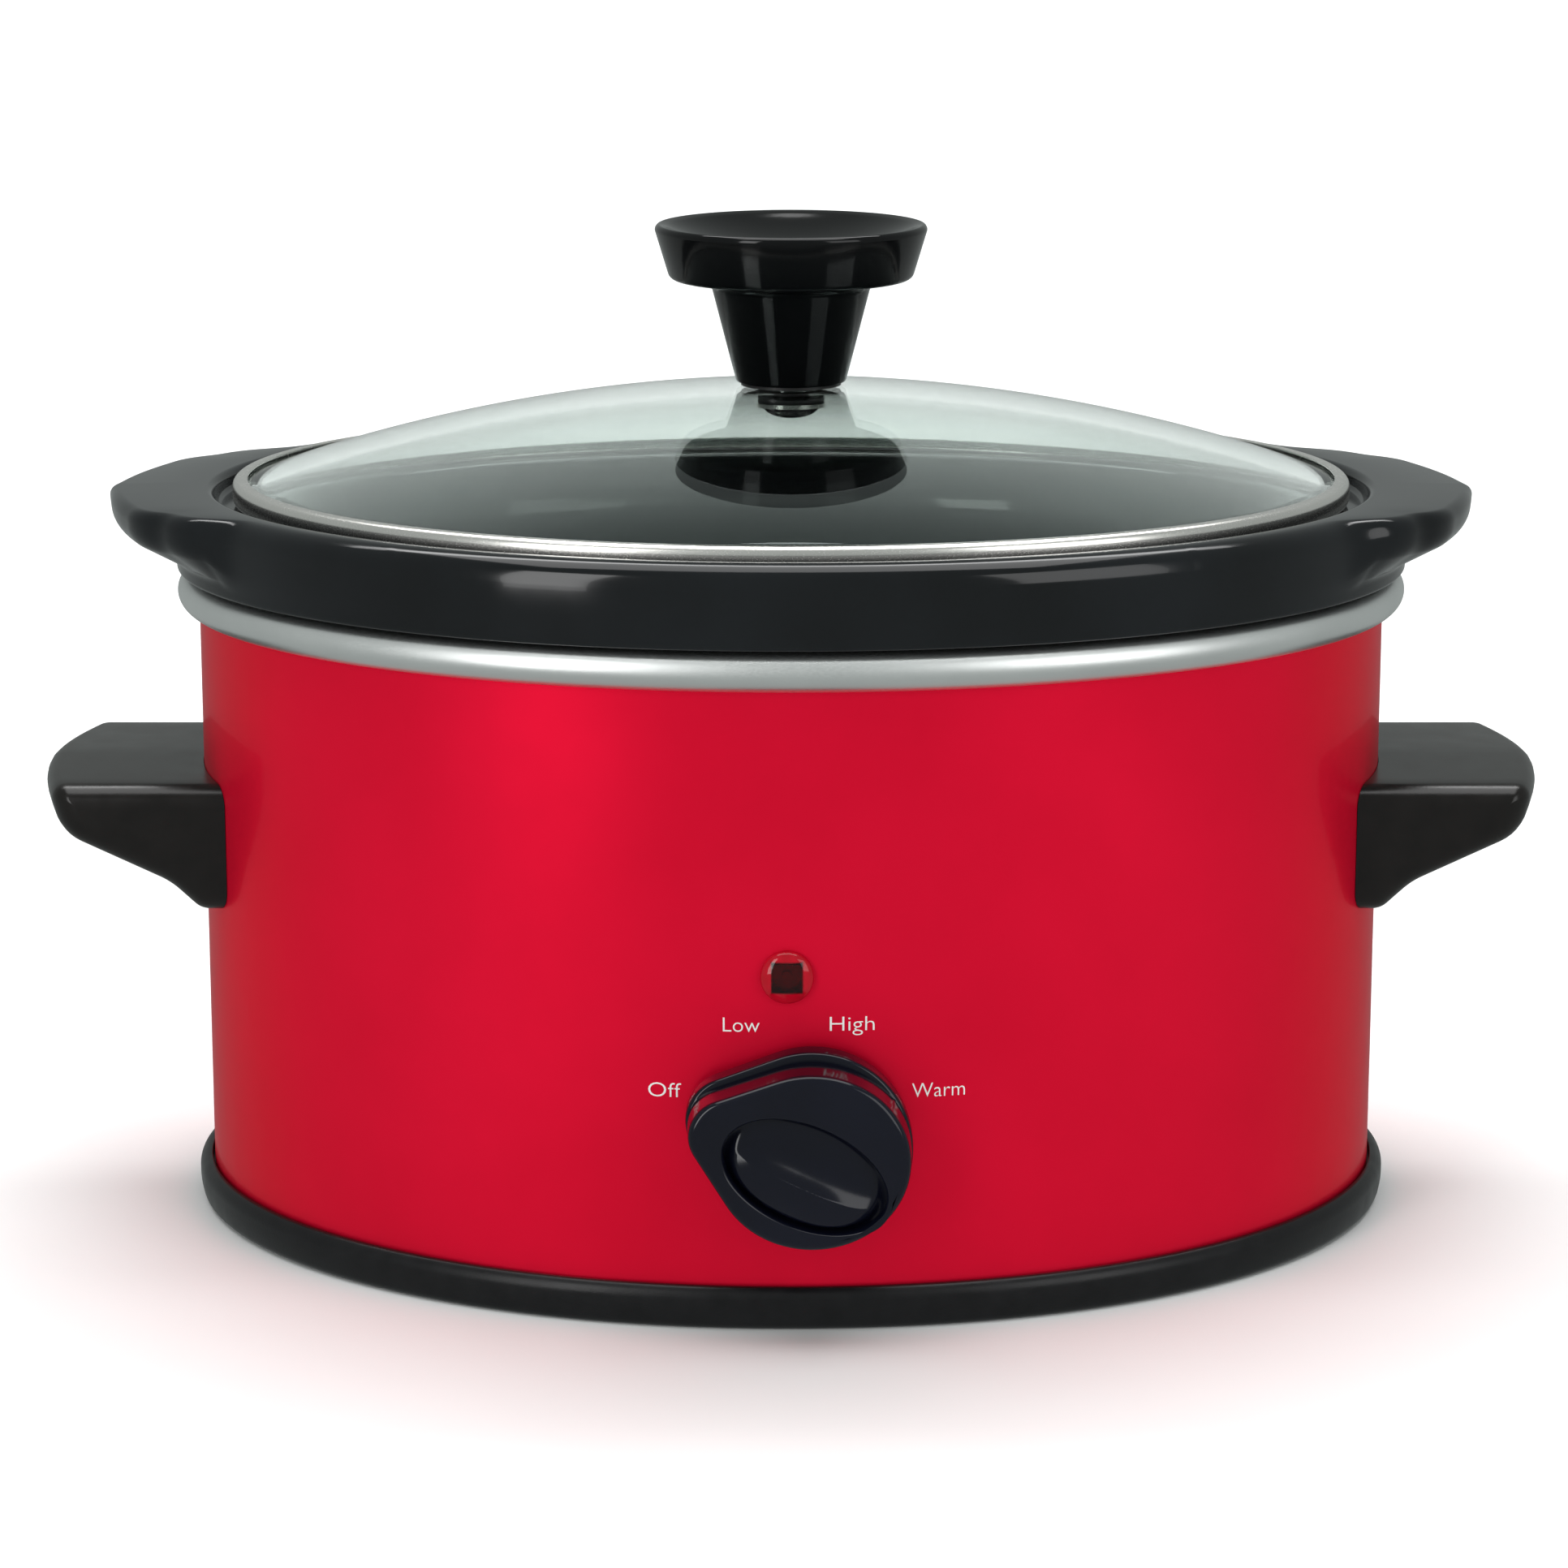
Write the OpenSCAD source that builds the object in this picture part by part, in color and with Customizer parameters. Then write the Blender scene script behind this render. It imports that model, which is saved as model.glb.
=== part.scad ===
// Small oval slow cooker: painted shell around a heating well, lift-out crock, glass lid, rotary control.
// Millimetres. Z is up, X is the long way of the oval and -Y is the control side.
// The origin is the middle of the base's resting face.

/* [Oval body] */
// Half of the shell's width
shell_a = 111.5; // [108:0.5:114]
// Depth of every oval section as a share of its width
oval = 0.77; // [0.74:0.01:0.8]
// Thickness of the steel shell
shell_t = 0.6; // [0.5:0.1:0.8]
// Height where the shell leaves the base ring
shell_low = 7.8; // [7:0.1:9]

/* [Heating well] */
// Height of the rolled rim's top
rim_top = 121.3; // [120:0.1:122]
// Radius of the rolled rim's section
rim_r = 3.3; // [3:0.1:3.4]
// Sheet thickness of the well
well_t = 0.7; // [0.5:0.1:0.9]
// Height of the well's floor
well_floor = 39.6; // [39:0.1:41]

/* [Crock] */
// Half of the width over the skirt
skirt_a = 115.5; // [114:0.5:117]
// Height of the skirt's lower edge
skirt_low = 122.2; // [121.8:0.1:123]
// Height of the crown around the lid
crown_z = 137; // [136:0.1:138]
// Height of the ledge that carries the lid
ledge_z = 133.5; // [133:0.1:134]
// Half of the width over the ears
ear_a = 128.5; // [126:0.5:131]
// Height of the cooking floor
crock_floor = 48; // [47:0.5:50]

/* [Lid] */
// Half of the lid's width over its rim
lid_a = 104.8; // [103:0.1:105.5]
// Height of the glass at the centre
lid_top = 155.5; // [153:0.5:158]
// Thickness of the glass
glass_t = 3.4; // [3:0.1:3.5]
// Radius of the lid knob's dish
dish_r = 25.8; // [24:0.1:28]
// Height of the lid knob's top
knob_top = 185.7; // [180:0.1:190]

/* [Handles] */
// Half of the width over the handles
handle_a = 142; // [138:0.5:146]
// Half of a handle's length along Y
handle_half = 30; // [28:0.5:31]
// Height of a handle's top face
handle_top = 85.2; // [83:0.1:86]

/* [Controls] */
// Control knob axis, from the middle of the front
knob_x = 1.2; // [-2:0.1:2]
// Control knob axis height
knob_z = 35.4; // [34:0.1:37]
// Distance of the control knob's face from the middle plane
knob_face = 100.5; // [99:0.1:102]
// Distance of the rim around the knob's recess
knob_rim = 99.9; // [98:0.1:100.4]
// Direction of the knob's pointer at Off, from +X
pointer_angle = 160; // [150:1:170]
// Indicator lamp, from the middle of the front
lamp_x = -0.7; // [-3:0.1:3]
// Indicator lamp height
lamp_z = 64.2; // [62:0.1:66]

/* [Cord entry] */
// Radius of the hole through the cord gland
gland_bore = 3.4; // [3:0.1:4]
// Height of the cord gland
gland_z = 22; // [20:0.5:24]

/* [Hidden] */

round_fn = 96;      // facets OpenSCAD previews a full turn with
far = 200;          // longer than any part, for cutters

// Shell
shell_bottom = 6.05;
shell_top = 118.4;
shell_front = shell_a * oval;
lamp_hole = 4;
bushing_r = 4.5;
gland_hole = 6.2;
screw_hole = 2.1;

// Base
base_a = 114.3;
base_floor = 2.6;
base_floor_t = 2.2;
foot_r = 7;
foot_at = [72, 46];
base_screw_x = 46;

// Well: radii before the oval squash
well_corner = 16;
well_low_a = 94;
well_high_a = 99.5;
well_slope = (well_high_a - well_low_a) / (rim_top - well_floor - well_corner);
rim_centre_a = skirt_a - rim_r;

// Heater stack on the well's wall
heater_low = 56;
heater_high = 96;
sheet_t = 0.5;
strap_low = 70;
strap_high = 82;
strap_mid = (strap_low + strap_high) / 2;
blanket_t = 3;

// Handle fixing
handle_wall = 3.2;
handle_screw_y = 18;
handle_screw_z = 71;
plate_x = 104.4;
plate_t = 1.5;

// Switch, measured outward from the middle plane
switch_front = 84;
switch_back = 72.4;
shaft_r = 3;
knob_back = 86.9;
knob_floor = knob_rim - 3;
shaft_front = 95.3;

// Lid stack
dish_floor = 179.5;
dish_mouth = dish_r - 2.8;
dish_depth = knob_top - 0.8 - dish_floor;
dish_sphere = (dish_mouth * dish_mouth + dish_depth * dish_depth) / (2 * dish_depth);
stem_low = lid_top + 0.6;
glass_under = lid_top - glass_t;

// ---------- helpers ----------

function arc(x, z, r, from, to, steps = 8) =
    [for (i = [0:steps]) let (t = from + (to - from) * i / steps) [x + r * cos(t), z + r * sin(t)]];

// Normal on the right-hand side of a step
function side(a, b) = let (d = b - a) [d[1], -d[0]] / norm(d);

function step_in(path, i, t) =
    let (last = len(path) - 1,
         before = i == 0 ? side(path[0], path[1]) : side(path[i - 1], path[i]),
         after = i == last ? before : side(path[i], path[i + 1]),
         mid = (before + after) / norm(before + after))
    path[i] + mid * t / max(0.5, mid * before);

// Closed outline of a sheet of thickness t on the right-hand side of a path
function sheet(path, t) = concat(path, [for (i = [len(path) - 1:-1:0]) step_in(path, i, t)]);

function box(x0, z0, x1, z1) = [[x0, z0], [x1, z0], [x1, z1], [x0, z1]];

// Half width of the well's outside at a height on its straight wall
function well_out(z) = well_low_a + well_t + (z - well_floor - well_corner) * well_slope;

// Sheet wrapped on the well's wall, a gap away from it
function wrap(gap, t, low, high) = sheet([[well_out(low) + gap, low], [well_out(high) + gap, high]], t);

// Depth of an oval of half width a at a place x
function depth(a, x) = oval * sqrt(a * a - x * x);

module turned(points) rotate_extrude($fn = round_fn) polygon(points);

// Turned section squashed to an oval, built as four quarters
module oval_ring(points) for (q = [0:3])
    scale([1, oval, 1]) rotate(90 * q) rotate_extrude(angle = 90, $fn = round_fn) polygon(points);

// Children drawn in X and Z, thick towards -Y from one distance to another
module front(x, z, from, to) translate([x, -from, z]) rotate([90, 0, 0]) linear_extrude(to - from) children();

// Round bar that stands out of the front, or of a side when turned
module front_bar(x, z, r, from, to, fn = 48) front(x, z, from, to) circle(r, $fn = fn);

module side_bar(y, z, r, from, to) translate([from, y, z]) rotate([0, 90, 0]) cylinder(h = to - from, r = r, $fn = 48);

// Smooth curve through hand-placed points
function bend(p, i, t) =
    let (last = len(p) - 1, a = p[max(0, i - 1)], b = p[i], c = p[min(last, i + 1)], d = p[min(last, i + 2)])
    0.5 * (2 * b + (c - a) * t + (2 * a - 5 * b + 4 * c - d) * t * t + (3 * b - a - 3 * c + d) * t * t * t);
function curve(p, n) = concat([for (i = [0:len(p) - 2], k = [0:n - 1]) bend(p, i, k / n)], [p[len(p) - 1]]);
function unit(v) = v / norm(v);

// Round tube along a list of points
module tube(path, r, sides = 8) {
    last = len(path) - 1;
    rings = [for (i = [0:last])
        let (t = unit(path[min(last, i + 1)] - path[max(0, i - 1)]),
             u = unit(cross(t, abs(t[0]) < 0.9 ? [1, 0, 0] : [0, 1, 0])),
             v = cross(t, u))
        for (k = [0:sides - 1]) path[i] + r * (cos(360 * k / sides) * u + sin(360 * k / sides) * v)];
    walls = [for (i = [0:last - 1], k = [0:sides - 1])
        let (n = (k + 1) % sides, low = i * sides, high = low + sides)
        each [[low + k, high + k, high + n], [low + k, high + n, low + n]]];
    ends = [[for (k = [0:sides - 1]) k], [for (k = [sides - 1:-1:0]) last * sides + k]];
    polyhedron(points = rings, faces = concat(walls, ends), convexity = 4);
}

// ---------- fixed body ----------

module outer_shell() color("crimson") difference() {
    oval_ring(box(shell_a - shell_t, shell_bottom, shell_a, shell_top));
    front_bar(lamp_x, lamp_z, lamp_hole, 60, far);
    front_bar(knob_x, knob_z, bushing_r + 0.2, 60, far);
    translate([0, 60, gland_z]) rotate([-90, 0, 0]) cylinder(h = far, r = gland_hole, $fn = 48);
    for (s = [-1, 1], y = [-1, 1])
        translate([s * shell_a, y * handle_screw_y, handle_screw_z]) rotate([0, 90, 0]) rotate(45)
            cylinder(h = 30, r = screw_hole, center = true, $fn = 48);
}

well_path = concat(
    [[0, well_floor]],
    arc(well_low_a - well_corner, well_floor + well_corner, well_corner, -90, 0),
    arc(well_high_a + 1.5, rim_top - 1.5, 1.5, 180, 90, 4),
    arc(rim_centre_a, rim_top - rim_r, rim_r, 90, -90, 10));

module heating_well() color("silver") oval_ring(sheet(well_path, well_t));

module well_bracket() color("darkgray") {
    top = well_floor - well_t - 0.05;
    difference() {
        union() {
            translate([-40, -9, top - 1.2]) cube([80, 18, 1.2]);
            for (s = [-1, 1]) {
                translate([s > 0 ? 38.8 : -40, -9, 8]) cube([1.2, 18, top - 8]);
                translate([s > 0 ? 38.8 : -54, -9, 8]) cube([15.2, 18, 1.2]);
                translate([s > 0 ? 39 : -45, -4, 33.2]) cube([6, 8, 1.2]);
            }
        }
        for (s = [-1, 1]) translate([s * base_screw_x, 0, 7]) cylinder(h = 4, r = 2, $fn = 32);
    }
}

module heat_shield() color("gainsboro") difference() {
    oval_ring(box(0, 34.5, 80, 35.1));
    for (s = [-1, 1]) translate([s > 0 ? 38.5 : -40.3, -9.3, 30]) cube([1.8, 18.6, 8]);
}

module heater_inner_sheet() color("tan") oval_ring(wrap(0.1, sheet_t, heater_low, heater_high));

// Ribbon turns between the two mica sheets, with a tab for each heat setting
module heater_element() color("dimgray") {
    for (z = [heater_low + 4:6:heater_high - 4]) oval_ring(wrap(0.65, 0.25, z, z + 2.4));
    for (s = [-1, 1]) translate([s * 52 - 2.5, -depth(well_out(heater_low) + 2.2, 52), 49]) cube([5, 0.5, 6.5]);
}

module heater_outer_sheet() color("tan") oval_ring(wrap(0.95, sheet_t, heater_low, heater_high));

// Strap with a gap at one end, bridged by the springs
module heater_strap() color("lightgray") difference() {
    oval_ring(wrap(1.5, 0.5, strap_low, strap_high));
    translate([60, -6, strap_low - 5]) cube([60, 12, strap_high - strap_low + 10]);
}

module strap_springs() color("gray") {
    x = well_out(strap_mid) + 3.8;
    turns = 6;
    for (z = [strap_mid - 3, strap_mid + 3])
        tube([for (k = [0:turns * 10])
            [x + 1.3 * cos(k * 36), -6.5 + 13 * k / (turns * 10), z + 1.3 * sin(k * 36)]], 0.35, 6);
}

module insulation_blanket() color("ivory") difference() {
    oval_ring(wrap(2.1, blanket_t, heater_low + 2, heater_high));
    translate([-15, 40, strap_low - 3]) cube([30, 80, strap_high - strap_low + 6]);
    translate([60, -12, strap_low - 4]) cube([60, 24, strap_high - strap_low + 8]);
}

fuse_y = oval * (well_out(strap_mid) + 2) + 3.1;

module thermal_fuse() color("lightsteelblue") {
    translate([-7, fuse_y, strap_mid]) rotate([0, 90, 0]) cylinder(h = 14, r = 2.3, $fn = 32);
    translate([-12, fuse_y, strap_mid]) rotate([0, 90, 0]) cylinder(h = 24, r = 0.5, $fn = 16);
}

module fuse_clip() color("silver") difference() {
    translate([-4, fuse_y - 2.9, strap_mid - 3.2]) cube([8, 6, 6.4]);
    translate([-5, fuse_y, strap_mid]) rotate([0, 90, 0]) cylinder(h = 10, r = 2.35, $fn = 32);
    translate([-5, fuse_y + 1, strap_mid - 1.4]) cube([10, 5, 2.8]);
}

base_section = [
    [0, base_floor], [107.5, base_floor], [108, 0], [112.4, 0], [113.7, 1.2], [base_a, 3], [base_a, 5.6],
    [113.8, 7], [112.9, shell_low], [111.9, shell_low], [111.9, 6], [110.4, 6], [110.4, 16], [108.6, 16],
    [108.6, base_floor + base_floor_t], [0, base_floor + base_floor_t]];

module base_pan() color("#181818") difference() {
    union() {
        oval_ring(base_section);
        for (s = [-1, 1]) translate([s * base_screw_x, 0, base_floor + 1]) cylinder(h = 4.3, r = 6, $fn = 48);
    }
    for (s = [-1, 1]) translate([s * base_screw_x, 0, 0]) cylinder(h = 20, r = screw_hole, $fn = 32);
    for (s = [-1, 1], t = [-1, 1]) translate([s * foot_at[0], t * foot_at[1], 0]) cylinder(h = 9, r = 2, $fn = 32);
    for (x = [-24:12:24], t = [-1, 1]) translate([x - 1.5, t * 27 - 10, 0]) cube([3, 20, 9]);
    translate([0, 60, gland_z]) rotate([-90, 0, 0]) cylinder(h = far, r = 9, $fn = 48);
}

module base_screws() color("silver") for (s = [-1, 1]) translate([s * base_screw_x, 0, 0]) difference() {
    union() {
        translate([0, 0, 0.5]) cylinder(h = base_floor - 0.5, r = 3.8, $fn = 48);
        translate([0, 0, base_floor - 0.2]) cylinder(h = 10, r = 1.95, $fn = 32);
    }
    translate([-0.5, -2.4, 0]) cube([1, 4.8, 1.4]);
    translate([-2.4, -0.5, 0]) cube([4.8, 1, 1.4]);
}

module rubber_feet() color("dimgray") for (s = [-1, 1], t = [-1, 1])
    translate([s * foot_at[0], t * foot_at[1], 0]) turned([
        [0, 0], [foot_r - 0.8, 0], [foot_r, 0.8], [foot_r, base_floor], [1.9, base_floor],
        [1.9, base_floor + base_floor_t], [2.7, base_floor + base_floor_t], [1.4, 6.8], [0, 6.8]]);

module rating_plate() color("lightgray") translate([-25, -12, base_floor - 0.4]) cube([50, 24, 0.4]);

// Side view of a handle: flat top, rounded end, underside that falls to the shell
handle_side = concat(
    [[98, handle_top]], arc(handle_a - 4.2, handle_top - 4.2, 4.2, 90, 0, 5),
    [[handle_a - 0.8, handle_top - 6.4], [136, 76.4], [129.5, 73.4], [115.6, 66], [112.4, 62.8],
     [109.4, 60.8], [98, 60.7]]);

// Plan of a handle, with its outer corners rounded
function handle_plan(inset) = let (r = 10 - inset, x = handle_a - 10, y = handle_half - 10) concat(
    [[98, -handle_half + inset]], arc(x, -y, r, -90, 0, 6), arc(x, y, r, 0, 90, 6),
    [[98, handle_half - inset]]);

module handle() color("#151515") difference() {
    intersection() {
        front(0, 0, -handle_half, handle_half) polygon(handle_side);
        translate([0, 0, 55]) linear_extrude(40) polygon(handle_plan(0));
    }
    translate([0, 0, 50]) scale([1, oval, 1]) cylinder(h = 45, r = shell_a + 0.1, $fn = round_fn);
    intersection() {
        translate([0, 0, 55]) linear_extrude(handle_top - handle_wall - 55) polygon(handle_plan(handle_wall));
        translate([115, -50, 50]) cube([60, 100, 50]);
    }
    for (t = [-1, 1]) side_bar(t * handle_screw_y, handle_screw_z, 1.95, 60, 113.9);
}

module handle_right() handle();
module handle_left() mirror([1, 0, 0]) handle();

module handle_screws() color("silver") for (s = [0, 1], t = [-1, 1]) mirror([s, 0, 0]) {
    side_bar(t * handle_screw_y, handle_screw_z, 3.8, plate_x - 2.2, plate_x);
    side_bar(t * handle_screw_y, handle_screw_z, 1.9, plate_x - 0.2, 113.4);
}

module handle_plates() color("gray") for (s = [0, 1]) mirror([s, 0, 0]) difference() {
    translate([plate_x, -23, handle_screw_z - 6]) cube([plate_t, 46, 12]);
    for (t = [-1, 1]) side_bar(t * handle_screw_y, handle_screw_z, 2, plate_x - 2, plate_x + 4);
}

module switch_body() color("beige") difference() {
    union() {
        front(knob_x, knob_z, switch_back, switch_front) square([26, 20], center = true);
        front_bar(knob_x, knob_z, bushing_r, switch_front - 1, 90.5);
    }
    front_bar(knob_x, knob_z, 8, switch_back + 1.3, switch_front - 1.3);
    front_bar(knob_x, knob_z, shaft_r + 0.05, switch_back + 2, 95);
}

module switch_terminals() color("goldenrod") for (x = [-9, -3, 3, 9])
    translate([knob_x + x - 2, -switch_back, 31]) cube([4, 6.4, 0.8]);

module switch_nut() color("silver") difference() {
    front(knob_x, knob_z, shell_front + 0.1, shell_front + 2.5) circle(6.35, $fn = 6);
    front_bar(knob_x, knob_z, bushing_r + 0.03, 80, 95);
}

module indicator_lens() color([0.45, 0, 0.02, 0.8]) difference() {
    translate([lamp_x, 0, lamp_z]) rotate([90, 0, 0]) turned(concat(
        [[0, 80], [lamp_hole - 0.1, 80], [lamp_hole - 0.1, 85.95], [4.7, 85.95], [4.7, 86.6]],
        arc(0, 80.9, 7.3, 51, 90, 6)));
    front_bar(lamp_x, lamp_z, 2.9, 70, 86.2);
}

module lamp_clip() color("silver") difference() {
    front_bar(lamp_x, lamp_z, 6.4, 84, 84.6);
    front_bar(lamp_x, lamp_z, lamp_hole - 0.05, 80, 90);
}

module neon_lamp() color("orange") {
    front_bar(lamp_x, lamp_z, 2.3, 79, 84.4, 32);
    front_bar(lamp_x, lamp_z, 0.8, 84.3, 85.6, 24);
}

module lamp_resistor() color("saddlebrown") {
    translate([lamp_x - 12.5, -80.4, lamp_z]) rotate([0, 90, 0]) cylinder(h = 6.5, r = 1.2, $fn = 24);
    translate([lamp_x - 6.5, -80.4, lamp_z]) rotate([0, 90, 0]) cylinder(h = 2.4, r = 0.3, $fn = 16);
}

// ---------- leads inside the base ----------

module lead_live() color("saddlebrown") tube(curve([
    [-14, 58, 20], [-17, 46, 14], [-18, 20, 12], [-16, -20, 12], [-12, -48, 17], [-2, -60, 27], [-1.8, -65.4, 31.2]
], 4), 1.2);

module lead_neutral() color("royalblue") tube(curve([
    [14, 58, 20], [20, 62, 22], [26, 74, 38], [25, 79.4, 58], [20, 79.6, 71], [12.8, fuse_y, strap_mid]
], 4), 1.2);

module lead_low() color("black") tube(curve([
    [4.2, -64.6, 31.4], [14, -63, 24], [32, -65, 26], [48, -67, 40], [52, -65.6, 47.8]
], 4), 1.2);

module lead_high() color("red") tube(curve([
    [-7.8, -64.6, 31.4], [-16, -62, 24], [-32, -65, 26], [-48, -67, 40], [-52, -65.6, 47.8]
], 4), 1.2);

module lead_lamp() color("white") tube(curve([
    [10.2, -64.6, 31.4], [19, -65.6, 33], [21, -77, 44], [14, -80, 56], [-4, -80, 54.5], [-15.5, -80, 57],
    [-17, -80.4, 62], [-13.8, -80.4, lamp_z]
], 4), 0.8);

module crimp_connectors() color("whitesmoke") for (s = [-1, 1]) translate([s * 14, 58, 20]) rotate([-90, 0, 0])
    turned([[0, 1], [2.4, 1], [2.4, 0], [3.2, 0], [3.2, 13], [2.4, 15], [0, 15]]);

module cord_gland() color("#101010") translate([0, 0, gland_z]) rotate([-90, 0, 0]) turned([
    [gland_bore, 80], [7, 80], [7, 84.6], [gland_hole - 0.1, 84.8], [gland_hole - 0.1, shell_front + 0.1],
    [8, shell_front + 0.1], [8, shell_front + 1.6], [5.6, 92], [gland_bore, 92]]);

// ---------- crock ----------

crock_section = concat(
    [[0, crock_floor]],
    arc(68, crock_floor + 18, 18, -90, -5, 6),
    [[91.4, 124], [96.5, ledge_z], [107.9, ledge_z], [108.3, crown_z - 1.2], [109.5, crown_z]],
    arc(skirt_a - 4.6, crown_z - 4.6, 4.6, 90, 0, 6),
    [[skirt_a, skirt_low + 0.8], [skirt_a - 0.8, skirt_low], [99.4, skirt_low], [98.2, skirt_low - 1.4],
     [97, skirt_low - 5]],
    arc(76.3, 57.6, 15.6, -5, -90, 6),
    [[0, 42]]);

// Side view of an ear: flat top, blunt end, hollowed underside
ear_top = crown_z - 0.4;
ear_side = [
    [100, ear_top], [ear_a - 2, ear_top], [ear_a - 0.5, ear_top - 0.8], [ear_a, ear_top - 2.2], [ear_a, 132.4],
    [ear_a - 1.3, 129.8], [ear_a - 3.7, 127.6], [ear_a - 7, 126.2], [ear_a - 10, 124.6],
    [ear_a - 12.5, skirt_low], [100, skirt_low]];

// Half of an ear's plan, mirrored across X
ear_half = [[98, 45], [117.5, 37.2], [120.6, 35], [122.6, 32], [125.9, 23], [127.8, 12], [ear_a, 3]];

module ear() difference() {
    intersection() {
        front(0, 0, -60, 60) polygon(ear_side);
        translate([0, 0, 115]) linear_extrude(30) polygon(concat(
            ear_half, [for (i = [len(ear_half) - 1:-1:0]) [ear_half[i][0], -ear_half[i][1]]]));
    }
    translate([0, 0, 110]) scale([1, oval, 1]) cylinder(h = 40, r = 111.2, $fn = round_fn);
}

module crock() color("#14181a") {
    oval_ring(crock_section);
    ear();
    mirror([1, 0, 0]) ear();
}

// ---------- lid ----------

glass_edge = 104;
glass_rim_z = 138;
function dome(r, low) = low + (lid_top - glass_rim_z) * (1 - pow(r / 101.5, 2));

module lid_glass() color([0.8, 0.92, 0.88, 0.4]) oval_ring(concat(
    [for (r = [4.5:9.7:101.5]) [r, dome(r, glass_rim_z)]], [[glass_edge, glass_rim_z]],
    [[glass_edge, glass_rim_z - glass_t]], [for (r = [101.5:-9.7:4.5]) [r, dome(r, glass_rim_z - glass_t)]]));

module lid_rim() color("lightgray") oval_ring([
    [102, 138.8], [104.2, 138.8], [lid_a, 138.2], [lid_a, 134.4], [104.3, 133.9], [102, 133.9], [102, 134.4],
    [104.2, 134.4], [104.2, 138.3], [102, 138.3]]);

module lid_knob() color("#101010") difference() {
    turned(concat(
        [[0, stem_low], [10.2, stem_low], [15, 173.6], [16.4, 175.2], [21.6, 175.6], [22.9, 176.8],
         [dish_r - 0.3, knob_top - 1.2], [dish_r - 0.9, knob_top - 0.2], [dish_r - 1.6, knob_top],
         [dish_r - 2.6, knob_top - 0.5]],
        arc(0, dish_floor + dish_sphere, dish_sphere, -acos(dish_mouth / dish_sphere) + 1, -90, 6)));
    translate([0, 0, stem_low - 1]) cylinder(h = 13, r = 3.5, $fn = 48);
}

module lid_insert() color("gold") difference() {
    translate([0, 0, stem_low]) cylinder(h = 11.9, r = 3.45, $fn = 48);
    translate([0, 0, stem_low - 1]) cylinder(h = 10, r = 2.02, $fn = 32);
}

module lid_gasket() color("black") difference() {
    translate([0, 0, lid_top]) cylinder(h = 0.6, r = 9.4, $fn = 48);
    translate([0, 0, lid_top - 1]) cylinder(h = 3, r = 2.2, $fn = 32);
}

module lid_bushing() color("black") difference() {
    union() {
        translate([0, 0, glass_under - 1.5]) cylinder(h = 1.1, r = 6.2, $fn = 48);
        translate([0, 0, glass_under - 0.5]) cylinder(h = glass_t + 0.3, r = 3.3, $fn = 48);
    }
    translate([0, 0, 145]) cylinder(h = 20, r = 2.05, $fn = 32);
}

module lid_washer() color("silver") difference() {
    translate([0, 0, glass_under - 2.1]) cylinder(h = 0.6, r = 6.6, $fn = 48);
    translate([0, 0, 145]) cylinder(h = 20, r = 2.05, $fn = 32);
}

module lid_screw() color("#222222") turned([
    [0, 148.2], [2.6, 148.4], [4.4, 149], [5.2, glass_under - 2.1], [2, glass_under - 2.1], [2, 164], [0, 164]]);

// ---------- control ----------

// Egg-shaped outline that points along +X
module egg(round_r, tip_r, tip_x) hull() {
    translate([-2.6, 0]) circle(round_r, $fn = 64);
    translate([tip_x, 0]) circle(tip_r, $fn = 32);
}

// Slanted oval below the middle of the knob
module recess(long, short) translate([1.4, -3.3]) rotate(-25) scale([1, short / long]) circle(long, $fn = 64);

module control_knob() color("#0d0f14") difference() {
    union() {
        difference() {
            union() {
                front(knob_x, knob_z, knob_back, 91.6) rotate(pointer_angle) egg(17.6, 8, 12.3);
                front(knob_x, knob_z, 91.6, knob_rim) scale([1, 0.92]) rotate(pointer_angle) egg(17, 7.6, 12.1);
            }
            front(knob_x, knob_z, knob_floor, far) recess(15.8, 9.2);
        }
        front(knob_x, knob_z, knob_floor - 0.2, knob_face) translate([-0.5, -1]) recess(13, 5.4);
    }
    front_bar(knob_x, knob_z, 8, 80, 90.8);
    front_bar(knob_x, knob_z, shaft_r, 80, shaft_front + 0.1);
}

// The shaft has a flat where the leaf spring presses
module switch_shaft() color("silver") difference() {
    front_bar(knob_x, knob_z, shaft_r, switch_back + 2.2, shaft_front);
    front(knob_x, knob_z, 91, far) translate([-5, 2]) square([10, 5]);
}

module knob_clip() color("gray") front(knob_x, knob_z, 91.5, shaft_front - 0.2)
    translate([-1.5, 2.05]) square([3, 0.4]);

module switch_rotor() color("orange") difference() {
    union() {
        front_bar(knob_x, knob_z, 5.6, switch_back + 1.7, switch_front - 1.7);
        front(knob_x, knob_z, switch_back + 3, switch_front - 3) for (t = [0:90:270]) rotate(t)
            translate([0, -1.4]) square([7.5, 2.8]);
    }
    front_bar(knob_x, knob_z, shaft_r, 60, far);
}

outer_shell();
heating_well();
well_bracket();
heat_shield();
heater_inner_sheet();
heater_element();
heater_outer_sheet();
heater_strap();
strap_springs();
insulation_blanket();
thermal_fuse();
fuse_clip();
base_pan();
base_screws();
rubber_feet();
rating_plate();
handle_left();
handle_right();
handle_screws();
handle_plates();
switch_body();
switch_terminals();
switch_nut();
indicator_lens();
lamp_clip();
neon_lamp();
lamp_resistor();
lead_live();
lead_neutral();
lead_low();
lead_high();
lead_lamp();
crimp_connectors();
cord_gland();
crock();
lid_glass();
lid_rim();
lid_knob();
lid_insert();
lid_gasket();
lid_bushing();
lid_washer();
lid_screw();
control_knob();
knob_clip();
switch_shaft();
switch_rotor();
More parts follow.
